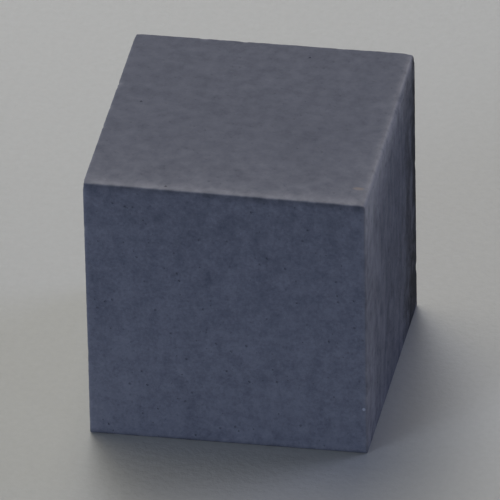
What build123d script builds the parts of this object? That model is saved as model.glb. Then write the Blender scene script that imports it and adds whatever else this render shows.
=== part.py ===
from build123d import *
import os

# A short square block of compressed charcoal, cut from an extruded bar.
#
# Charcoal powder, a little clay and a gum binder are kneaded, pushed through a square
# die, dried, and sawn to length. Nothing is assembled, so the whole object is one
# solid of one material, and it stands on one of its two cut ends.
#
# Millimetres. X runs across the block, Y from its front side to its back side, and Z
# up, along the way the bar was pushed. The origin is the middle of the rest face.

# Driving dimensions.
BAR_WIDTH = 25.0
BAR_DEPTH = 25.0
CUT_LENGTH = 26.0

# Radii of the arrises, which are the edges where two flat faces meet.
DIE_ARRIS_RADIUS = 0.18
TOP_ARRIS_RADIUS = 0.13
REST_ARRIS_RADIUS = 0.10

# How deep handling has worn the top, measured in from the sharp arris or corner.
# The right arris is rubbed to a narrow flat, and two top corners are knocked off.
RUBBED_ARRIS_DEPTH = 0.14
BACK_CORNER_DEPTH = 0.32
FRONT_CORNER_DEPTH = 0.28

HALF_WIDTH = BAR_WIDTH / 2
HALF_DEPTH = BAR_DEPTH / 2


def extruded_bar():
    """The length of bar, with the arrises that the die's rounded corners give it."""
    section = RectangleRounded(BAR_WIDTH, BAR_DEPTH, DIE_ARRIS_RADIUS)
    return extrude(section, CUT_LENGTH)


def ease_cut_ends(bar):
    """Round the sawn arrises of the two cut ends."""
    eased = fillet(bar.faces().sort_by(Axis.Z)[-1].edges(), TOP_ARRIS_RADIUS)
    return fillet(eased.faces().sort_by(Axis.Z)[0].edges(), REST_ARRIS_RADIUS)


def wear_away(block, sharp_point, outward, depth):
    """Take off all that lies within depth of a sharp arris or corner."""
    outward = Vector(*outward).normalized()
    worn_plane = Plane(origin=Vector(*sharp_point) - outward * depth, z_dir=outward)
    return split(block, bisect_by=worn_plane, keep=Keep.BOTTOM)


def charcoal_block():
    """The finished block: the bar, its eased ends, and the three worn places."""
    block = ease_cut_ends(extruded_bar())
    right_arris = (HALF_WIDTH, 0, CUT_LENGTH)
    back_corner = (HALF_WIDTH, HALF_DEPTH, CUT_LENGTH)
    front_corner = (-HALF_WIDTH, -HALF_DEPTH, CUT_LENGTH)
    block = wear_away(block, right_arris, (1, 0, 1), RUBBED_ARRIS_DEPTH)
    block = wear_away(block, back_corner, (1, 1, 1), BACK_CORNER_DEPTH)
    return wear_away(block, front_corner, (-1, -1, 1), FRONT_CORNER_DEPTH)


os.makedirs("parts", exist_ok=True)

block = charcoal_block()
block.label = "charcoal_block"
export_step(block, "parts/charcoal_block.step")
print(f"charcoal_block: {block.volume / 1000:.3f} cm3, valid {block.is_valid}")
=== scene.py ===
# %% [markdown]
# # A block of compressed charcoal
#
# This lesson makes one object: a short, square length of compressed drawing
# charcoal, standing on a cut end. It is a single piece. Charcoal powder, a little
# clay and a gum binder are pushed through a square die, dried, and sawn to length.
#
# A plain cube would have the right size and look like nothing. What makes it charcoal
# is how it is made and how it wears: dry open pores, faint streaks where the die
# dragged along the sides, rubbed pale arrises, and a few bites. So most of the lesson
# goes into those.

# %% The frame
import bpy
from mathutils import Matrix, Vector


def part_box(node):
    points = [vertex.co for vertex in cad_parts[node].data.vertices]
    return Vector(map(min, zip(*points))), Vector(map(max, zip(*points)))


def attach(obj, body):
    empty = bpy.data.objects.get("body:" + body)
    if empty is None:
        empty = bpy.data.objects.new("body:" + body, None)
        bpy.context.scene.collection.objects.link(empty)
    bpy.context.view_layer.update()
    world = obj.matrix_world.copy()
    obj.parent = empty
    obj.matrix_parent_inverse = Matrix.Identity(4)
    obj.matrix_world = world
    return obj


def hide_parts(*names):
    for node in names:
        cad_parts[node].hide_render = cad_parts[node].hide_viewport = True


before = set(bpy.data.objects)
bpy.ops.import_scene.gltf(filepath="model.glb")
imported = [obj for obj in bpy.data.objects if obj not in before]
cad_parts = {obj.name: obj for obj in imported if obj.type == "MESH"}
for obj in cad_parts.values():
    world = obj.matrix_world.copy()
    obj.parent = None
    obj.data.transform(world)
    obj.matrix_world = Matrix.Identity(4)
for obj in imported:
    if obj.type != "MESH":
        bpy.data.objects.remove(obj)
print("CAD nodes:", list(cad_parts))

# %% [markdown]
# ## Sizes
#
# The CAD block is the frame. Its box gives the size and place of all that is
# modelled here. Lengths are in metres, and MM lets them be written in millimetres.

# %% Sizes
import math
import random

import bmesh
import bpy
import numpy as np
from mathutils import Matrix, Vector

MM = 0.001
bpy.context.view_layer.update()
LOW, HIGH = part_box("charcoal_block")
CENTRE = (LOW + HIGH) / 2
SIZE = HIGH - LOW
HALF = SIZE / 2
X, Y, Z = range(3)
print("block", [round(side / MM, 2) for side in SIZE], "mm")

# %% [markdown]
# ## Picking faces and edges in code
#
# At a desk you click on an edge. In a script you say where it is. These helpers put
# one object in edit mode and select what passes a test, so the modelling steps below
# read like the clicks they stand for.

# %% Helpers for edit mode


def select_only(obj):
    """Make obj the one selected and active object."""
    bpy.ops.object.select_all(action="DESELECT")
    obj.select_set(True)
    bpy.context.view_layer.objects.active = obj


def start_editing(obj, kind):
    """Go into edit mode on obj, to select by VERT, EDGE or FACE, with nothing selected."""
    select_only(obj)
    bpy.ops.object.mode_set(mode="EDIT")
    bpy.ops.mesh.select_mode(type=kind)
    bpy.ops.mesh.select_all(action="DESELECT")


def pick(obj, kind, test):
    """Select only the verts, edges or faces of obj that pass the test. Returns how many."""
    bpy.ops.mesh.select_all(action="DESELECT")
    mesh = bmesh.from_edit_mesh(obj.data)
    picked = [element for element in getattr(mesh, kind) if test(element)]
    for element in picked:
        element.select_set(True)
    mesh.select_flush_mode()
    bmesh.update_edit_mesh(obj.data)
    return len(picked)


def stop_editing():
    """Go back to object mode."""
    bpy.ops.object.mode_set(mode="OBJECT")


# %% [markdown]
# ## Naming the arrises and corners
#
# An arris is the edge where two faces meet. Three signs name each one: which side of
# the middle it lies on along X, Y and Z, with 0 for the way it runs. Three signs with
# no 0 name a corner. The same signs give a place on it, and how far any point is
# from it, so the wear further down can say "the top right arris" and mean it.

# %% Arrises and corners by name
TOP_FRONT, TOP_BACK = (0, -1, 1), (0, 1, 1)
TOP_LEFT, TOP_RIGHT = (-1, 0, 1), (1, 0, 1)
REST_FRONT, REST_BACK = (0, -1, -1), (0, 1, -1)
REST_LEFT, REST_RIGHT = (-1, 0, -1), (1, 0, -1)
FRONT_LEFT, FRONT_RIGHT = (-1, -1, 0), (1, -1, 0)
BACK_LEFT, BACK_RIGHT = (-1, 1, 0), (1, 1, 0)
FRONT_LEFT_TOP, BACK_RIGHT_TOP = (-1, -1, 1), (1, 1, 1)
FRONT_RIGHT_TOP, BACK_LEFT_TOP = (1, -1, 1), (-1, 1, 1)
FRONT_LEFT_REST, FRONT_RIGHT_REST, BACK_RIGHT_REST = (-1, -1, -1), (1, -1, -1), (1, 1, -1)


def place_on(signs, along=0.0):
    """The sharp arris's point that is `along` metres past its middle."""
    shift = [sign or along / HALF[axis] for axis, sign in enumerate(signs)]
    return CENTRE + Vector(shift[axis] * HALF[axis] for axis in range(3))


def distance_from(signs, places):
    """How far each of an array of places is from a sharp arris or corner, in metres."""
    inward = [HALF[axis] - sign * (places[:, axis] - CENTRE[axis])
              for axis, sign in enumerate(signs) if sign]
    return np.linalg.norm(inward, axis=0)


# %% [markdown]
# ## The blank
#
# The blank is a cube at the block's size and place. A Bevel modifier rounds it, with
# a weight on each edge, so that every arris gets its own width: the die rounds the
# four long ones a little, the saw leaves the ends sharper, and one top arris has been
# rubbed wider than the rest. Bevelled this way, each flat stays one clean quad, which
# the next step needs.

# %% The blank, with a width for each arris
ARRIS_WIDTHS = {
    TOP_RIGHT: 0.36 * MM, TOP_FRONT: 0.14 * MM, TOP_LEFT: 0.15 * MM, TOP_BACK: 0.15 * MM,
    FRONT_LEFT: 0.18 * MM, FRONT_RIGHT: 0.19 * MM, BACK_LEFT: 0.18 * MM, BACK_RIGHT: 0.20 * MM,
    REST_FRONT: 0.16 * MM, REST_BACK: 0.11 * MM, REST_LEFT: 0.11 * MM, REST_RIGHT: 0.11 * MM,
}
WIDEST_ARRIS = max(ARRIS_WIDTHS.values())
ARRIS_SEGMENTS = 3

bpy.ops.object.select_all(action="DESELECT")
bpy.ops.mesh.primitive_cube_add(size=1, location=CENTRE)
block = bpy.context.object
block.name = block.data.name = "worn_charcoal_block"
block.scale = SIZE
bpy.ops.object.transform_apply(location=True, rotation=False, scale=True)

weights = block.data.attributes.new("bevel_weight_edge", "FLOAT", "EDGE")
for edge in block.data.edges:
    ends = [block.data.vertices[index].co for index in edge.vertices]
    middle = (ends[0] + ends[1]) / 2
    width = min(ARRIS_WIDTHS.items(), key=lambda item: (place_on(item[0]) - middle).length)[1]
    weights.data[edge.index].value = width / WIDEST_ARRIS
bevel = block.modifiers.new("arrises", "BEVEL")
bevel.limit_method = "WEIGHT"
bevel.width = WIDEST_ARRIS
bevel.segments = ARRIS_SEGMENTS
select_only(block)
bpy.ops.object.modifier_apply(modifier=bevel.name)
print("blank:", len(block.data.polygons), "faces")

# %% [markdown]
# ## The grid
#
# Pores of a fifth of a millimetre need points that close together. Subdividing every
# edge that runs one way cuts the whole ring of faces beside it, as a loop cut would.
# One pass stops at a hundred cuts, so there are two: ten parts, then eleven in each.
# That gives each flat 110 by 110 faces, and leaves the arrises three faces wide.

# %% The grid
CUTS_OF_PASSES = (9, 10)
WHOLE_EDGE = 20 * MM


def runs_along(axis, length):
    """A test for edges that run along an axis and are at least this long."""
    def test(edge):
        along = edge.verts[1].co - edge.verts[0].co
        return abs(along[axis]) > length
    return test


start_editing(block, "EDGE")
for axis in (X, Y, Z):
    shortest = WHOLE_EDGE
    for cuts in CUTS_OF_PASSES:
        pick(block, "edges", runs_along(axis, shortest))
        bpy.ops.mesh.subdivide(number_cuts=cuts)
        shortest /= cuts + 1
stop_editing()
print("grid:", len(block.data.polygons), "faces")

# %% [markdown]
# ## Loosening the grid
#
# Charcoal is powder, so nothing in it lines up. Each flat's points are shaken about
# with Randomize, and then squashed back onto the flat with a resize to nothing along
# its normal. What stays is a crazed net of uneven faces, so the pores that are cut
# later stand in no rows. The rest end is left alone, because it carries the block.

# %% Loosening the grid
LOOSEN = 0.060 * MM
FLATNESS = 0.001 * MM
ARRIS_ZONE = 0.75 * MM
SIDES = {"right": (1, 0, 0), "left": (-1, 0, 0), "front": (0, -1, 0), "back": (0, 1, 0),
         "top": (0, 0, 1)}


def lies_on(signs, clear=ARRIS_ZONE, tolerance=FLATNESS):
    """A test for verts that lie on one flat, at least `clear` inside its arrises."""
    axis = next(number for number, sign in enumerate(signs) if sign)
    others = [other for other in (X, Y, Z) if other != axis]
    flat = CENTRE[axis] + signs[axis] * HALF[axis]

    def test(vert):
        return abs(vert.co[axis] - flat) < tolerance and all(
            abs(vert.co[other] - CENTRE[other]) < HALF[other] - clear for other in others)
    return test


start_editing(block, "VERT")
for seed, (name, signs) in enumerate(SIDES.items(), start=1):
    loosened = pick(block, "verts", lies_on(signs))
    bpy.ops.transform.vertex_random(offset=LOOSEN, uniform=0.0, normal=0.0, seed=seed)
    keep = tuple(0.0 if sign else 1.0 for sign in signs)
    bpy.ops.transform.resize(value=keep, center_override=CENTRE + Vector(
        signs[axis] * HALF[axis] for axis in range(3)))
    print(name, loosened, "points loosened")
stop_editing()

# %% [markdown]
# ## Flats that are not flat, arrises that are not straight
#
# The sides of a bar that dries on a rack wave in and out by a few hundredths of a
# millimetre, and its arrises crumble a little all along. Both are Displace modifiers
# on soft noise. A vertex group says where each acts: the slow wave on all but the rest
# end, and the finer nibbling only close to an arris.

# %% Waviness and crumbled arrises
ALL_ARRISES = tuple(ARRIS_WIDTHS)
WAVE = {"scale": 8 * MM, "height": 0.035 * MM}
NIBBLE = {"scale": 0.80 * MM, "height": 0.07 * MM, "reach": 0.17 * MM, "middle": 0.55}
REST_KEPT = 0.6 * MM
GROUP_STEPS = 8


def read(collection, name, width=1, kind=np.float32):
    """One value of every element of a mesh, as an array with a row for each element."""
    values = np.empty(len(collection) * width, kind)
    collection.foreach_get(name, values)
    return values.reshape(-1, width) if width > 1 else values


def fade(distance, reach, power=2):
    """1 at no distance, about a third at the reach, and further out soon nothing."""
    return np.exp(-(np.maximum(distance, 0.0) / reach) ** power)


def displace(obj, name, weight, scale, height, middle=0.5):
    """Push obj in and out along its normals by soft noise, and apply it."""
    group = obj.vertex_groups.new(name=name)
    for step in range(1, GROUP_STEPS + 1):
        low, high = (step - 0.5) / GROUP_STEPS, (step + 0.5) / GROUP_STEPS
        members = np.flatnonzero((weight >= low) & (weight < high)).tolist()
        group.add(members, step / GROUP_STEPS, "REPLACE")
    noise = bpy.data.textures.new(name, "CLOUDS")
    noise.noise_scale = scale
    noise.noise_depth = 2
    push = obj.modifiers.new(name, "DISPLACE")
    push.texture = noise
    push.texture_coords = "LOCAL"
    push.strength = height
    push.mid_level = middle
    push.vertex_group = group.name
    select_only(obj)
    bpy.ops.object.modifier_apply(modifier=push.name)
    obj.vertex_groups.remove(obj.vertex_groups[name])


places = read(block.data.vertices, "co", 3)
off_the_rest = np.clip((places[:, Z] - LOW.z) / REST_KEPT, 0, 1)
nearest_arris = np.min([distance_from(arris, places) for arris in ALL_ARRISES], axis=0)
displace(block, "drying_wave", off_the_rest, WAVE["scale"], WAVE["height"])
displace(block, "crumbled_arris", fade(nearest_arris, NIBBLE["reach"]) * off_the_rest,
         NIBBLE["scale"], NIBBLE["height"], NIBBLE["middle"])
moved = np.linalg.norm(read(block.data.vertices, "co", 3) - places, axis=1)
print("moved by up to", round(float(moved.max()) / MM, 3), "mm")

# %% [markdown]
# ## Knocks
#
# A fall or a rap against the tin knocks small bites out of the arrises, and blunts
# the corners. By hand this is a few points dragged inward with proportional editing,
# so the neighbours follow less and less. The sharp falloff leaves a pecked hole, the
# sphere falloff a blunted corner. First comes the one helper that both need.

# %% A knock
# A knock takes hold of the points this near to its place: a share of its reach, and a
# little more, because the bevel has already cut the sharp arris away.
HELD_SHARE, HELD_MORE = 0.45, 0.12 * MM


def knock(obj, signs, along, depth, reach, falloff="SHARP"):
    """Drag the points at one place on an arris or corner in towards the middle of the bar."""
    place = place_on(signs, along)
    inward = -Vector(signs).normalized()
    held = HELD_SHARE * reach + HELD_MORE
    if not pick(obj, "verts", lambda vert: (vert.co - place).length < held):
        raise ValueError(f"no points near the knock at {tuple(place)}")
    bpy.ops.transform.translate(
        value=inward * depth, use_proportional_edit=True,
        proportional_edit_falloff=falloff, proportional_size=reach)


# %% [markdown]
# ## Where it was knocked
#
# Each line says which arris, how far along it from its middle, how far the points go
# in, and how wide the bite is. The top left arris has had the most of them. All four
# top corners are blunted, because a block on its end is held and rapped there.

# %% Knocks
KNOCKS = [
    # arris, along it from its middle, depth, reach
    (TOP_LEFT, 4.1 * MM, 0.09 * MM, 0.35 * MM),
    (TOP_LEFT, 3.4 * MM, 0.05 * MM, 0.28 * MM),
    (TOP_LEFT, 0.1 * MM, 0.04 * MM, 0.28 * MM),
    (TOP_LEFT, -3.1 * MM, 0.05 * MM, 0.30 * MM),
    (TOP_BACK, -6.3 * MM, 0.03 * MM, 0.35 * MM),
    (TOP_BACK, -2.7 * MM, 0.04 * MM, 0.35 * MM),
    (TOP_BACK, 5.9 * MM, 0.03 * MM, 0.40 * MM),
    (TOP_FRONT, -6.9 * MM, 0.03 * MM, 0.35 * MM),
    (TOP_FRONT, 3.8 * MM, 0.03 * MM, 0.40 * MM),
    (TOP_RIGHT, 5.2 * MM, 0.07 * MM, 0.55 * MM),
    (TOP_RIGHT, -3.3 * MM, 0.06 * MM, 0.45 * MM),
    (FRONT_LEFT, 8.2 * MM, 0.03 * MM, 0.35 * MM),
    (FRONT_LEFT, -4.7 * MM, 0.04 * MM, 0.35 * MM),
    (FRONT_RIGHT, -7.4 * MM, 0.05 * MM, 0.35 * MM),
    (BACK_LEFT, 6.1 * MM, 0.12 * MM, 0.50 * MM),
    (BACK_LEFT, -2.2 * MM, 0.09 * MM, 0.40 * MM),
    (BACK_RIGHT, 1.8 * MM, 0.05 * MM, 0.40 * MM),
    (BACK_RIGHT, -8.9 * MM, 0.08 * MM, 0.50 * MM),
]
BLUNTED = [
    # corner, depth, reach
    (FRONT_LEFT_TOP, 0.10 * MM, 0.50 * MM),
    (BACK_RIGHT_TOP, 0.08 * MM, 0.50 * MM),
    (FRONT_RIGHT_TOP, 0.06 * MM, 0.45 * MM),
    (BACK_LEFT_TOP, 0.04 * MM, 0.40 * MM),
]

start_editing(block, "VERT")
for signs, along, depth, reach in KNOCKS:
    knock(block, signs, along, depth, reach)
for signs, depth, reach in BLUNTED:
    knock(block, signs, 0.0, depth, reach, falloff="SPHERE")
stop_editing()
print(len(KNOCKS), "bites and", len(BLUNTED), "blunted corners")

# %% [markdown]
# ## Pores
#
# Air trapped in the dough leaves open pores, a tenth to a quarter of a millimetre
# across. The drawn sides have many, and the top end few, because the saw's dust fills
# them. The rest end is left whole, because it carries the block.
#
# A pore needs a point of the net with room around it, and no other pore beside
# it. The points that will do are shuffled with a fixed seed, so that the pores fall
# anywhere, but fall there again each time the lesson is run.

# %% Places for the pores
PORE_KINDS = {
    # radius, depth, and whether it has a floor
    "pit": (0.130 * MM, 0.055 * MM, True),
    "pore": (0.100 * MM, 0.060 * MM, False),
    "pinprick": (0.060 * MM, 0.035 * MM, False),
}
PORES_ON = {
    # pits, pores, pinpricks
    "front": (44, 190, 440), "right": (18, 120, 300), "back": (36, 190, 400),
    "left": (26, 150, 340), "top": (3, 60, 240),
}
PORE_CLEARANCE = 0.5 * MM
NEAR_FLAT = 0.10 * MM
# Every edge at a pore's middle is at least this many radii long, so the disc fits.
EDGE_PER_RADIUS = 1.25
PORE_SEED = 26


def pore_sites(mesh, signs, radius, rng):
    """Points of a flat, in a random order, where a pore has room and no neighbour."""
    sunk = mesh.verts.layers.float["sunk"]
    on_the_flat = lies_on(signs, PORE_CLEARANCE, NEAR_FLAT)
    free = [vert for vert in mesh.verts
            if on_the_flat(vert) and not vert[sunk]
            and all(len(face.verts) == 4 for face in vert.link_faces)
            and all(edge.calc_length() > EDGE_PER_RADIUS * radius for edge in vert.link_edges)]
    rng.shuffle(free)
    taken = set()
    for vert in free:
        around = {other for face in vert.link_faces for other in face.verts}
        if not around & taken:
            taken |= around
            yield vert


# %% [markdown]
# ## Opening the pores
#
# Each pore is a real hollow. A vertex bevel turns one point of the net into a small
# disc: with two segments and this profile the outline is round. In a pinprick or a
# pore, the middle of the disc is then pushed in. The few large pits get a flat floor
# instead, by an inset. The bottom of each is marked as sunk, so that the finish can
# paint shade into it.

# %% Pores
ROUND_HOLE = 0.086
PIT_RIM = 0.035 * MM


def open_pores(obj, signs, kind, count, rng):
    """Open so many pores of one kind in a flat, and mark the bottom of each as sunk."""
    radius, depth, has_floor = PORE_KINDS[kind]
    inward = -Vector(signs) * depth
    mesh = bmesh.from_edit_mesh(obj.data)
    bpy.ops.mesh.select_all(action="DESELECT")
    for vert, _ in zip(pore_sites(mesh, signs, radius, rng), range(count)):
        vert.select_set(True)
    bmesh.update_edit_mesh(obj.data)
    bpy.ops.mesh.bevel(offset=radius, segments=2, profile=ROUND_HOLE, affect="VERTICES")
    if has_floor:
        bpy.ops.mesh.inset(thickness=PIT_RIM, depth=-depth, use_individual=False)
    mesh = bmesh.from_edit_mesh(obj.data)
    sunk = mesh.verts.layers.float["sunk"]
    middles = [vert for vert in mesh.verts
               if vert.select and all(face.select for face in vert.link_faces)]
    for vert in mesh.verts:
        if vert.select and has_floor:
            vert[sunk] = 1.0
    bpy.ops.mesh.select_all(action="DESELECT")
    for vert in middles:
        vert[sunk] = 1.0
        vert.select_set(True)
    bmesh.update_edit_mesh(obj.data)
    if not has_floor:
        bpy.ops.transform.translate(value=inward)
    return len(middles)


block.data.attributes.new("sunk", "FLOAT", "POINT")
pore_rng = random.Random(PORE_SEED)
start_editing(block, "VERT")
for name, counts in PORES_ON.items():
    opened = [open_pores(block, SIDES[name], kind, count, pore_rng)
              for kind, count in zip(PORE_KINDS, counts)]
    print(name, dict(zip(PORE_KINDS, opened)))
stop_editing()
block.data.calc_loop_triangles()
print("block:", len(block.data.loop_triangles), "triangles")

# %% [markdown]
# ## Grit and smooth shading
#
# One last shake, of a few thousandths of a millimetre, leaves the fine dry grit that
# keeps charcoal from ever looking polished. Then the faces are shaded smooth, except
# across the sharp rims of the pits.

# %% Grit and smooth shading
GRIT = 0.006 * MM
GRIT_SEED = 7
SHARP_RIM = math.radians(50)

start_editing(block, "VERT")
pick(block, "verts", lambda vert: vert.co.z > LOW.z + REST_KEPT)
bpy.ops.transform.vertex_random(offset=GRIT, uniform=0.0, normal=0.0, seed=GRIT_SEED)
stop_editing()
select_only(block)
bpy.ops.object.shade_smooth_by_angle(angle=SHARP_RIM)
print("shaded smooth up to", round(math.degrees(SHARP_RIM)), "degrees")

# %% [markdown]
# ## A flat map of the six sides
#
# An unfolded cube, three sides by two, gives every side the same sharp share of a
# flat picture of the finish. A face belongs to the side whose flat it lies nearest to,
# so the walls of a pore stay with the side that it is in.

# %% The map
MAP_COLUMNS, MAP_ROWS = 3, 2
MAP_GAP = 0.004


def below_flat(signs, places):
    """How far below a side's flat each of an array of places is."""
    axis = next(number for number, sign in enumerate(signs) if sign)
    return HALF[axis] - signs[axis] * (places[:, axis] - CENTRE[axis])


ALL_SIDES = {**SIDES, "rest": (0, 0, -1)}
mesh = block.data
side_of_face = np.argmin([below_flat(signs, read(mesh.polygons, "center", 3))
                          for signs in ALL_SIDES.values()], axis=0)
side_of_corner = np.repeat(side_of_face, read(mesh.polygons, "loop_total", kind=np.int32))
axis_of_side = np.array([int(np.argmax(np.abs(signs))) for signs in ALL_SIDES.values()])
axis_of_corner = axis_of_side[side_of_corner]
place = read(mesh.vertices, "co", 3)[read(mesh.loops, "vertex_index", kind=np.int32)]
share = np.clip((place - np.array(LOW)) / np.array(SIZE), 0, 1)
across = np.where(axis_of_corner == X, share[:, Y], share[:, X])
up = np.where(axis_of_corner == Z, share[:, Y], share[:, Z])
cell = np.array([1 / MAP_COLUMNS, 1 / MAP_ROWS])
corner = np.stack([side_of_corner % MAP_COLUMNS, side_of_corner // MAP_COLUMNS], 1) * cell
laid = corner + MAP_GAP + np.stack([across, up], 1) * (cell - 2 * MAP_GAP)
mesh.uv_layers.new(name="OFBake").data.foreach_set("uv", laid.astype(np.float32).ravel())
print("map laid out over", len(laid), "corners")

# %% [markdown]
# ## Where the block is dusty, dark and dragged, and where light and shade are painted
#
# Wear isn't the same all over: it is a history of this block. Some of the amounts below
# also paint light and shade into the colour. All are written down once and stored on
# the mesh, for the finish to read.
#
# - dust and painted light: fingers and paper crush the arrises to pale powder, which
#   hangs on in a rim and thins out over the side. The bright rims along the top's front
#   and right arrises are partly that dust and partly a painted highlight. A paler band
#   along the front of the top is a painted sheen, and the paler foot of the front is
#   painted light thrown up from the table. The right side is paler below its top arris
#   and towards its front.
# - dark colour and painted shade: painted shade darkens the back of the top, the upper
#   part of the front, and the foot of the front, left and back, where the block meets the
#   table. A thin darker band runs just under the front's top arris, and the right side
#   is darker towards its back.
# - rubbed and knocked: these add to the dust, on the round of an arris and in bites. The
#   rubbed top right rim is partly a painted highlight.
# - dragged: how much the die's streaks show on a drawn side
# - sawn: the two cut ends
#
# A line says which side, from which arris, how strong, and how far it reaches. The
# power says how it fades: 1 has a sharp start and a long tail, 2 is a bell, and the
# higher ones are nearly even and then stop.

# %% Wear and painted light and shade, written down
RIGHT, LEFT, FRONT, BACK, TOP, REST = ALL_SIDES.values()
PAINTED_LIGHT_AND_DUST = [
    # side, arris or corner, strength, reach, power
    # At the front of the top: a bright rim, partly dust and partly a painted highlight, and a
    # wide paler band that is a painted sheen.
    (TOP, TOP_FRONT, 0.38, 0.95 * MM, 2), (TOP, TOP_FRONT, 0.14, 6.0 * MM, 2),
    # The top right rim: partly dust and partly a painted highlight.
    (TOP, TOP_RIGHT, 0.30, 0.50 * MM, 2), (TOP, TOP_RIGHT, 0.08, 2.2 * MM, 2),
    (TOP, TOP_FRONT, 0.05, 40.0 * MM, 4),  # an even film over the whole top
    (TOP, TOP_BACK, 0.05, 0.25 * MM, 2), (RIGHT, REST_RIGHT, 0.15, 6.0 * MM, 2),
    # These make the right side paler below its top arris and towards its front.
    (RIGHT, TOP_RIGHT, 1.15, 2.0 * MM, 1), (RIGHT, FRONT_RIGHT, 0.40, 7.0 * MM, 2),
    (RIGHT, FRONT_RIGHT, 0.06, 0.40 * MM, 2), (FRONT, FRONT_RIGHT, 0.10, 0.25 * MM, 2),
    # The last of these is painted light: the foot of the front is made paler, as light thrown
    # up from the table would make it.
    (FRONT, FRONT_LEFT, 0.06, 0.25 * MM, 2), (FRONT, REST_FRONT, 0.10, 9.0 * MM, 2),
    (LEFT, TOP_LEFT, 0.50, 1.0 * MM, 1), (LEFT, FRONT_LEFT, 0.12, 5.0 * MM, 2),
    (LEFT, BACK_LEFT, 0.20, 0.6 * MM, 2), (BACK, TOP_BACK, 0.40, 1.1 * MM, 1),
    (BACK, BACK_LEFT, 0.15, 3.0 * MM, 2), (BACK, BACK_RIGHT, 0.10, 0.4 * MM, 2),
]
DARK_AND_PAINTED_SHADE = [
    # side, arris or corner, strength, reach, power
    # The first of these is painted shade: the top is darker towards its back.
    (TOP, TOP_BACK, 0.06, 6.0 * MM, 2), (TOP, TOP_LEFT, 0.15, 0.20 * MM, 2),
    # The last of these makes a darker band just under the front's top arris.
    (TOP, TOP_BACK, 0.15, 0.20 * MM, 2), (FRONT, TOP_FRONT, 0.33, 0.50 * MM, 2),
    # Painted shade: the upper part of the front is made darker, and a painted contact shadow
    # runs along its foot.
    (FRONT, TOP_FRONT, 0.12, 6.0 * MM, 2), (FRONT, REST_FRONT, 0.70, 0.16 * MM, 4),
    # These, and the first entry of the next line, make the right side darker towards its back
    # and its foot.
    (RIGHT, BACK_RIGHT, 0.55, 6.2 * MM, 3), (RIGHT, BACK_RIGHT, 0.60, 1.3 * MM, 2),
    (RIGHT, BACK_RIGHT_REST, 0.40, 8 * MM, 2), (BACK, BACK_RIGHT, 0.30, 3.0 * MM, 2),
    # Painted shade at the foot of the left and back sides, where they meet the table.
    (LEFT, REST_LEFT, 0.15, 1.5 * MM, 2), (BACK, REST_BACK, 0.12, 1.0 * MM, 2),
]
DRAGGED = {RIGHT: 1.0, LEFT: 0.7, FRONT: 0.20, BACK: 0.45}
SAWN = {TOP: 1.0, REST: 1.0}
RUBBED_AND_HIGHLIGHT = [
    # arris, strength, reach
    # The top right arris is rubbed, and its pale rim is also partly a painted highlight.
    (TOP_RIGHT, 0.80, 0.30 * MM), (FRONT_RIGHT, 0.04, 0.25 * MM),
]
RUBBED_AND_HIGHLIGHT_POWER = 4
# A bite this deep would be all dust, and a shallower one holds its share.
KNOCK_FOR_ALL_DUST = 0.16 * MM
print("lines of wear:", len(PAINTED_LIGHT_AND_DUST) + len(DARK_AND_PAINTED_SHADE) + len(RUBBED_AND_HIGHLIGHT) + len(KNOCKS))

# %% [markdown]
# ## Storing the wear and the painted light and shade
#
# Every amount is worked out for all the points at once, and stored on the mesh under
# its name. An Attribute node in the finish reads it back by that name. A side's wear
# fades out where the side turns into the next one, so that nothing leaks round the
# arris.

# %% Wear and painted light and shade, stored on the mesh
SIDE_EDGE = 0.09 * MM
places = read(mesh.vertices, "co", 3)


def on_side(signs):
    """How much each point of the block belongs to a side: 1 on its flat, 0 on others."""
    return fade(below_flat(signs, places), SIDE_EDGE)


def store(name, amounts):
    """Store an amount from 0 to 1 on each point of the block."""
    values = np.clip(amounts, 0, 1).astype(np.float32)
    mesh.attributes.new(name, "FLOAT", "POINT").data.foreach_set("value", values)
    print(name, "mean", round(float(values.mean()), 3))


def from_arrises(table):
    """Add up what each line of a table of wear and painted light and shade lays on its side.
    """
    return sum(on_side(side) * strength * fade(distance_from(arris, places), reach, power)
               for side, arris, strength, reach, power in table)


knocked = sum(fade(np.linalg.norm(places - np.array(place_on(signs, along)), axis=1), reach)
              * depth / KNOCK_FOR_ALL_DUST for signs, along, depth, reach in KNOCKS)
rubbed_and_highlight = sum(strength * fade(distance_from(arris, places), reach, RUBBED_AND_HIGHLIGHT_POWER)
             for arris, strength, reach in RUBBED_AND_HIGHLIGHT)
store("dust_and_light", from_arrises(PAINTED_LIGHT_AND_DUST) + knocked + rubbed_and_highlight)
store("dark_and_shade", from_arrises(DARK_AND_PAINTED_SHADE))
store("dragged", sum(strength * on_side(side) for side, strength in DRAGGED.items()))
store("sawn", sum(strength * on_side(side) for side, strength in SAWN.items()))

# %% [markdown]
# ## Out of true
#
# The die is worn and the saw wandered, so the block is not quite square: the top's
# back right corner stands a third of a millimetre high, and the foot is skewed by
# about as much. A lattice bends a whole mesh at once. This one has a point at each
# corner of the block, and the block follows the points that are dragged. It comes
# after the wear, because all the steps above find their places on a square block.
# The foot only moves sideways, so the block still stands flat.

# %% Out of true
CORNER_DRAGS = {
    # corner: how far it goes along X, Y and Z
    BACK_RIGHT_TOP: (0.14 * MM, 0.0, 0.33 * MM),
    BACK_LEFT_TOP: (-0.04 * MM, 0.0, 0.14 * MM),
    FRONT_LEFT_TOP: (-0.03 * MM, 0.0, 0.0),
    FRONT_LEFT_REST: (0.0, -0.20 * MM, 0.0),
    FRONT_RIGHT_REST: (-0.15 * MM, 0.20 * MM, 0.0),
    BACK_RIGHT_REST: (0.15 * MM, -0.26 * MM, 0.0),
}

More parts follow.
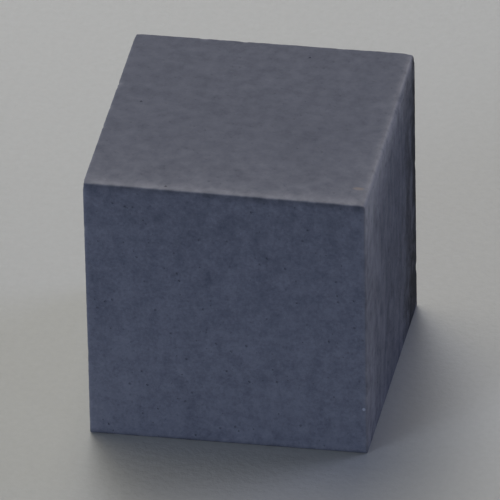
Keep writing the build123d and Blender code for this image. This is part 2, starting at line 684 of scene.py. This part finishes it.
bpy.ops.object.select_all(action="DESELECT")
bpy.ops.object.add(type="LATTICE", location=CENTRE)
cage = bpy.context.object
cage.scale = SIZE
cage.data.interpolation_type_u = "KEY_LINEAR"
cage.data.interpolation_type_v = "KEY_LINEAR"
cage.data.interpolation_type_w = "KEY_LINEAR"
for point in cage.data.points:
    corner = tuple(round(2 * part) for part in point.co)
    drag = CORNER_DRAGS.get(corner, (0.0, 0.0, 0.0))
    point.co_deform = [part + drag[axis] / SIZE[axis] for axis, part in enumerate(point.co)]
bend = block.modifiers.new("out_of_true", "LATTICE")
bend.object = cage
select_only(block)
bpy.ops.object.modifier_apply(modifier=bend.name)
select_only(cage)
bpy.ops.object.delete()
print("corners dragged:", len(CORNER_DRAGS))

# %% [markdown]
# ## Colours and nodes
#
# Colours are picked as sRGB hex values, as on a screen, and turned linear by one
# function, because the shader works in linear light. One more function adds a node,
# fills or links its inputs, and hands back the output that is wanted, so that a
# pattern reads as a list of what feeds what.

# %% A colour and a node


def linear(hex_colour):
    """A linear RGBA colour from an sRGB hex string."""
    channels = [int(hex_colour[start:start + 2], 16) / 255 for start in (1, 3, 5)]
    return tuple(c / 12.92 if c <= 0.04045 else ((c + 0.055) / 1.055) ** 2.4
                 for c in channels) + (1.0,)


def add_node(tree, kind, output, inputs=None, **settings):
    """Add a shader node with its settings. Each input gets a value or a link."""
    node = tree.nodes.new("ShaderNode" + kind)
    for name, value in settings.items():
        setattr(node, name, value)
    for name, value in (inputs or {}).items():
        if isinstance(value, bpy.types.NodeSocket):
            tree.links.new(value, node.inputs[name])
        else:
            node.inputs[name].default_value = value
    return node.outputs[output] if node.outputs else node


def stir(tree, middle, parts):
    """Patterns added up by weight, so that even ones, at 0.5, come out at the middle."""
    total = middle - 0.5 * sum(weight for _, weight in parts)
    for pattern, weight in parts:
        total = add_node(tree, "Math", 0, {0: pattern, 1: weight, 2: total},
                         operation="MULTIPLY_ADD")
    return total


# %% [markdown]
# ## Powder
#
# Compressed charcoal is powder pressed hard: slate grey rather than black, because
# the clay and the gum scatter light. Three even noises make it, all on Object
# coordinates in metres, so the scale of each is one over a real size. The dough is
# kneaded unevenly, in clouds of a few millimetres. Pressing leaves a mottle of about
# one. The grain itself is far finer than a tenth of a millimetre, which would never
# show, so it is drawn at three tenths.

# %% Powder
POWDER = [
    # size, detail and roughness of the clouds, the mottle and the grain
    (6 * MM, 3, 0.50), (1.1 * MM, 5, 0.65), (0.30 * MM, 4, 0.75),
]


def powder(tree, coords):
    """The clouds, the mottle and the grain, each about even at 0.5."""
    return [add_node(tree, "TexNoise", "Fac", {
        "Vector": coords, "Scale": 1 / size, "Detail": detail, "Roughness": roughness})
        for size, detail, roughness in POWDER]


# %% [markdown]
# ## Marks of the die and of the thumb
#
# The die drags grains along the bar and leaves broken streaks a few millimetres long.
# The cut ends have been rubbed by fingers instead, which leaves soft smudges that run
# mostly across. Both are noise squeezed by a Mapping node, so that its blotches are
# long one way and narrow the other, and the noise's own distortion swirls them, the
# smudges more than the streaks. A Mix holds both at an even 0.5 wherever they don't
# belong.

# %% Marks of the die and of the thumb
DIE_MARKS = {"where": "dragged", "sizes": (1.7 * MM, 1.7 * MM, 5 * MM), "swirl": 0.6,
             "roughness": 0.7}
THUMB_MARKS = {"where": "sawn", "sizes": (3.6 * MM, 1.9 * MM, 3.6 * MM), "swirl": 1.0,
               "roughness": 0.45}


def marks(tree, coords, where, sizes, swirl, roughness):
    """Marks that run along the longest of the three sizes, where the attribute says."""
    squeezed = add_node(tree, "Mapping", 0, {"Vector": coords,
                                             "Scale": [1 / size for size in sizes]})
    noise = add_node(tree, "TexNoise", "Fac", {
        "Vector": squeezed, "Scale": 1.0, "Detail": 4, "Roughness": roughness,
        "Distortion": swirl})
    strength = add_node(tree, "Attribute", "Fac", attribute_name=where)
    return add_node(tree, "Mix", 0, {0: strength, 2: 0.5, 3: noise})


# %% [markdown]
# ## Pinholes
#
# Most pores are too small to cut. A Voronoi texture gives each cell a middle, which
# becomes a hole, and a random colour, which says how wide the hole is. More than half
# the cells get none.

# %% Pinholes
PINHOLE_SPACING = 0.45 * MM
WIDEST_PINHOLE = 0.20
PINHOLE_EDGE = 0.10
CELLS_WITHOUT = 0.55


def pinholes(tree, coords):
    """1 at the middle of a pinhole, 0 outside."""
    cells = {"Vector": coords, "Scale": 1 / PINHOLE_SPACING}
    away = add_node(tree, "TexVoronoi", "Distance", cells)
    colour = add_node(tree, "TexVoronoi", "Color", cells)
    chance = add_node(tree, "SeparateColor", "Red", {"Color": colour})
    width = add_node(tree, "MapRange", 0, {"Value": chance, "From Min": CELLS_WITHOUT,
                                           "From Max": 1.0, "To Max": WIDEST_PINHOLE})
    inside = add_node(tree, "Math", 0, {0: width, 1: away}, operation="SUBTRACT")
    return add_node(tree, "MapRange", 0, {"Value": inside, "From Max": PINHOLE_EDGE})


# %% [markdown]
# ## A fleck and a speck
#
# The powder is never quite clean. A sliver of tan clay lies in the top, near the
# front right corner, and a chalky grain in the front side, low by the right arris. A
# Mapping node of the Texture kind moves and squashes the coordinates so that each
# spot is a unit ball, and the distance from its middle cuts it out, ragged by grain.

# %% A fleck and a speck
FLECK = {"place": place_on(FRONT_RIGHT_TOP) + Vector((-1.05, 2.70, 0.0)) * MM,
         "radii": Vector((0.52, 0.22, 0.40)) * MM}
SPECK = {"place": place_on(FRONT_RIGHT) + Vector((-0.42, 0.16, -8.30)) * MM,
         "radii": Vector((0.15, 0.30, 0.15)) * MM}
# A spot fades out between these distances, in radii, with the grain's 0.5 added.
SPOT_FADES, SPOT_ENDS = 1.2, 1.7


def spot(tree, coords, ragged, place, radii):
    """1 inside a spot, 0 outside."""
    unit = add_node(tree, "Mapping", 0, {"Vector": coords, "Location": place, "Scale": radii},
                    vector_type="TEXTURE")
    away = add_node(tree, "VectorMath", "Value", {0: unit}, operation="LENGTH")
    uneven = add_node(tree, "Math", 0, {0: away, 1: ragged}, operation="ADD")
    return add_node(tree, "MapRange", 0, {"Value": uneven, "From Min": SPOT_ENDS,
                                          "From Max": SPOT_FADES})


# %% [markdown]
# ## What the finish is made of
#
# Seven colours: two of the pressed powder, deep and pale, then the dust, which also
# paints light, a dark colour that also paints shade, a painted shade for the inside of a
# hole, and the two odd grains. After them come the amounts that the finish needs.

# %% Colours and amounts
COAL_DEEP = linear("#4a4d58")
COAL_PALE = linear("#6c6e78")
# Pale dust, also used for the painted highlight, sheen and light from the table.
DUST_AND_LIGHT_COLOUR = linear("#929297")
# A darker colour, also used for painted shade.
DARK_AND_SHADE_COLOUR = linear("#26282e")
# Painted shade for the inside of a hole.
HOLE_SHADE_COLOUR = linear("#24262b")
CLAY = linear("#827b78")
CHALK = linear("#8f929b")
# How far rubbing has filled the fine grain and evened the mottle of the cut ends.
FILLED, EVENED = 0.65, 0.15
# The thinnest and the thickest patch, as a share of what the wear says.
THIN_PATCH, THICK_PATCH = 0.5, 1.5
# How much painted shade darkens a drawn pinhole and the bottom of a cut pore.
PINHOLE_SHADE_SHARE, PORE_SHADE_SHARE = 0.45, 0.20
# Roughness of the bare powder and of the dust, and how much of the grain is added.
POWDER_ROUGH, DUST_ROUGH, GRAIN_ROUGH = 0.70, 0.52, 0.20
print("pale powder, linear:", [round(channel, 3) for channel in COAL_PALE[:3]])

# %% [markdown]
# ## The finish, put together
#
# The patterns are stirred into one number that runs from deep to pale. On the cut
# ends rubbing has filled the grain and the pinholes, and evened the mottle a little.
# Dust is laid over the powder's tone in patches, with the painted highlight, sheen and
# light, thickest where the mottle and the streaks are pale, and the dark colour with the
# painted shade shows in the gaps between, so that neither ends in a line. The inside of
# a hole gets painted shade, because light that goes in hardly comes out. Only a part of
# that colour is mixed in, as a cut pore has a shadow of its own.
#
# The surface is matt all over: loose powder has no gloss, so the specular level is
# low, and only the burnished rims are a little smoother. The grain, the streaks and
# the pinholes, in millimetres, make the bump.

# %% The finish, put together


def charcoal_finish():
    """Dry compressed charcoal, matt and slate grey, paler where it is rubbed, with painted
    light and shade in its colour.
    """
    material = bpy.data.materials.new("compressed_charcoal")
    material.use_nodes = True
    tree = material.node_tree
    tree.nodes.clear()
    coords = add_node(tree, "TexCoord", "Object")
    clouds, mottle, grain = powder(tree, coords)
    drag = marks(tree, coords, **DIE_MARKS)
    smudge = marks(tree, coords, **THUMB_MARKS)
    pinhole = pinholes(tree, coords)
    dust_and_light, dark_and_shade, sunk, sawn = (add_node(tree, "Attribute", "Fac", attribute_name=name)
                               for name in ("dust_and_light", "dark_and_shade", "sunk", "sawn"))
    filled = add_node(tree, "Math", 0, {0: sawn, 1: FILLED}, operation="MULTIPLY")
    grain = add_node(tree, "Mix", 0, {0: filled, 2: grain, 3: 0.5})
    pinhole = add_node(tree, "Mix", 0, {0: filled, 2: pinhole, 3: 0.0})
    evened = add_node(tree, "Math", 0, {0: sawn, 1: EVENED}, operation="MULTIPLY")
    mottle = add_node(tree, "Mix", 0, {0: evened, 2: mottle, 3: 0.5})

    shade = stir(tree, 0.5, [(clouds, 0.30), (mottle, 1.05), (grain, 1.35), (drag, 2.7),
                             (smudge, 0.50)])
    pale = stir(tree, 0.5, [(mottle, 1.0), (drag, 0.8)])
    # Such a sum of noises seldom leaves 0.3 to 0.7, so that range gives all the patches.
    patches = add_node(tree, "MapRange", 0, {"Value": pale, "From Min": 0.3, "From Max": 0.7,
                                             "To Min": THIN_PATCH, "To Max": THICK_PATCH})
    # Dust, with the painted highlight, sheen and light, is laid in patches.
    dust_and_light_laid = add_node(tree, "Math", 0, {0: dust_and_light, 1: patches}, operation="MULTIPLY")
    gaps = add_node(tree, "Math", 0, {0: THIN_PATCH + THICK_PATCH, 1: patches},
                    operation="SUBTRACT")
    # The dark colour, with its painted shade, shows in the gaps.
    dark_and_shade_shown = add_node(tree, "Math", 0, {0: dark_and_shade, 1: gaps}, operation="MULTIPLY")
    # Painted shade in drawn pinholes and at the bottom of cut pores.
    painted_pinhole_shade = add_node(tree, "Math", 0, {0: pinhole, 1: PINHOLE_SHADE_SHARE}, operation="MULTIPLY")
    painted_hole_shade = add_node(tree, "Math", 0, {0: sunk, 1: PORE_SHADE_SHARE, 2: painted_pinhole_shade},
                      operation="MULTIPLY_ADD")
    layers = [(dust_and_light_laid, DUST_AND_LIGHT_COLOUR), (dark_and_shade_shown, DARK_AND_SHADE_COLOUR), (painted_hole_shade, HOLE_SHADE_COLOUR),
              (spot(tree, coords, grain, **FLECK), CLAY),
              (spot(tree, coords, grain, **SPECK), CHALK)]
    colour = add_node(tree, "Mix", 2, {0: shade, 6: COAL_DEEP, 7: COAL_PALE}, data_type="RGBA")
    for amount, layer in layers:
        colour = add_node(tree, "Mix", 2, {0: amount, 6: colour, 7: layer}, data_type="RGBA")

    height_mm = stir(tree, 0.0, [(grain, 0.030), (drag, 0.020), (pinhole, -0.04)])
    bump = add_node(tree, "Bump", 0, {"Height": height_mm, "Distance": MM})
    rough = add_node(tree, "MapRange", 0, {"Value": dust_and_light, "To Min": POWDER_ROUGH,
                                           "To Max": DUST_ROUGH})
    rough = add_node(tree, "Math", 0, {0: grain, 1: GRAIN_ROUGH, 2: rough},
                     operation="MULTIPLY_ADD")
    shader = add_node(tree, "BsdfPrincipled", 0, {
        "Base Color": colour, "Roughness": rough, "Normal": bump,
        "IOR": 1.5, "Specular IOR Level": 0.15})
    add_node(tree, "OutputMaterial", None, {"Surface": shader})
    return material


mesh.materials.clear()
mesh.materials.append(charcoal_finish())
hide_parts("charcoal_block")
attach(block, "root")
print("finish:", len(mesh.materials[0].node_tree.nodes), "nodes")

# %% [markdown]
# ## The table
#
# A plain pale sheet, with just enough tooth to take a soft shadow.

# %% The table
TOOTH_SIZE, TOOTH_HEIGHT = 0.7 * MM, 0.05 * MM
TABLE_WIDTH = 4


def table_finish():
    """A pale matt sheet with a faint tooth."""
    material = bpy.data.materials.new("pale_sheet")
    material.use_nodes = True
    tree = material.node_tree
    tree.nodes.clear()
    coords = add_node(tree, "TexCoord", "Object")
    tooth = add_node(tree, "TexNoise", "Fac", {"Vector": coords, "Scale": 1 / TOOTH_SIZE,
                                               "Detail": 4, "Roughness": 0.65})
    bump = add_node(tree, "Bump", 0, {"Height": tooth, "Distance": TOOTH_HEIGHT})
    colour = add_node(tree, "Mix", 2, {0: tooth, 6: linear("#b2b1a9"), 7: linear("#bebdb5")},
                      data_type="RGBA")
    shader = add_node(tree, "BsdfPrincipled", 0, {
        "Base Color": colour, "Roughness": 0.7, "Normal": bump})
    add_node(tree, "OutputMaterial", None, {"Surface": shader})
    return material


bpy.ops.object.select_all(action="DESELECT")
bpy.ops.mesh.primitive_plane_add(size=TABLE_WIDTH, location=(0, 0, LOW.z))
table = bpy.context.object
table.name = table.data.name = "table"
table.data.materials.append(table_finish())

# %% [markdown]
# ## Light
#
# Soft window light from behind, a little to the left, throws the shadow forward. A
# lamp nearly overhead leans the same way, so that the shadow is deepest at the foot of
# the block and lifts as it leaves it. A lamp behind on the right lights the right
# side, and casts a faint shadow to the left. Low cool panels fill the front side
# from the left and the right side from the front. Every light is a wide disc at arm's
# length, because a block this small shows every hard shadow edge.

# %% Light
LIGHT_DISTANCE = 0.45
LIGHT_WIDTH = 0.22
LIGHTS = {
    # turn from +Y towards +X and height above the table in degrees, then watts of
    # red, green and blue
    "window_high": (-20, 60, (0.540, 0.520, 0.440)),
    "window_side": (-60, 60, (0.146, 0.137, 0.122)),
    "window_low": (-20, 15, (0.647, 0.684, 0.820)),
    "overhead": (-35, 75, (0.342, 0.326, 0.308)),
    "left_fill": (-140, 6, (0.815, 0.955, 1.280)),
    "back_fill": (60, 38, (0.242, 0.270, 0.420)),
    "right_fill": (120, 6, (0.200, 0.226, 0.300)),
}
ROOM_LIGHT = (0.044, 0.049, 0.062)

for name, (turn, height, watts) in LIGHTS.items():
    turn, height = math.radians(turn), math.radians(height)
    way = Vector((math.sin(turn) * math.cos(height), math.cos(turn) * math.cos(height),
                  math.sin(height)))
    lamp = bpy.data.lights.new(name, "AREA")
    lamp.shape = "DISK"
    lamp.size = LIGHT_WIDTH
    lamp.energy = max(watts)
    lamp.color = [channel / max(watts) for channel in watts]
    light = bpy.data.objects.new(name, lamp)
    light.location = CENTRE + way * LIGHT_DISTANCE
    light.rotation_euler = way.to_track_quat("Z", "Y").to_euler()
    light.visible_camera = False
    bpy.context.scene.collection.objects.link(light)

world = bpy.data.worlds.new("room")
world.use_nodes = True
world.node_tree.nodes["Background"].inputs["Color"].default_value = ROOM_LIGHT + (1.0,)
bpy.context.scene.world = world
bpy.context.scene.view_settings.view_transform = "Standard"
print(len(LIGHTS), "lights")

# %% [markdown]
# ## Camera
#
# A long lens a metre away, looking down at the block from the front and a little
# from the right, and tilted by about a degree, as a hand-held camera is.

# %% Camera
TURN, RAISE, TILT = map(math.radians, (10.94, 32.74, -1.21))
CAMERA_DISTANCE = 1.0
SEEN_WIDTH = 1.7705 * SIZE.x
AIM_RIGHT, AIM_UP = 0.007 * SIZE.x, 0.022 * SIZE.x

back = Vector((math.sin(TURN) * math.cos(RAISE), -math.cos(TURN) * math.cos(RAISE),
               math.sin(RAISE)))
level = Vector((math.cos(TURN), math.sin(TURN), 0.0))
right = math.cos(TILT) * level + math.sin(TILT) * back.cross(level)
up = back.cross(right)
view = bpy.data.cameras.new("camera")
view.lens = view.sensor_width * CAMERA_DISTANCE / SEEN_WIDTH
camera = bpy.data.objects.new("camera", view)
eye = CENTRE + back * CAMERA_DISTANCE - AIM_RIGHT * right - AIM_UP * up
camera.matrix_world = Matrix.Translation(eye) @ Matrix((right, up, back)).transposed().to_4x4()
bpy.context.scene.collection.objects.link(camera)
bpy.context.scene.camera = camera
print("lens", round(view.lens), "mm")
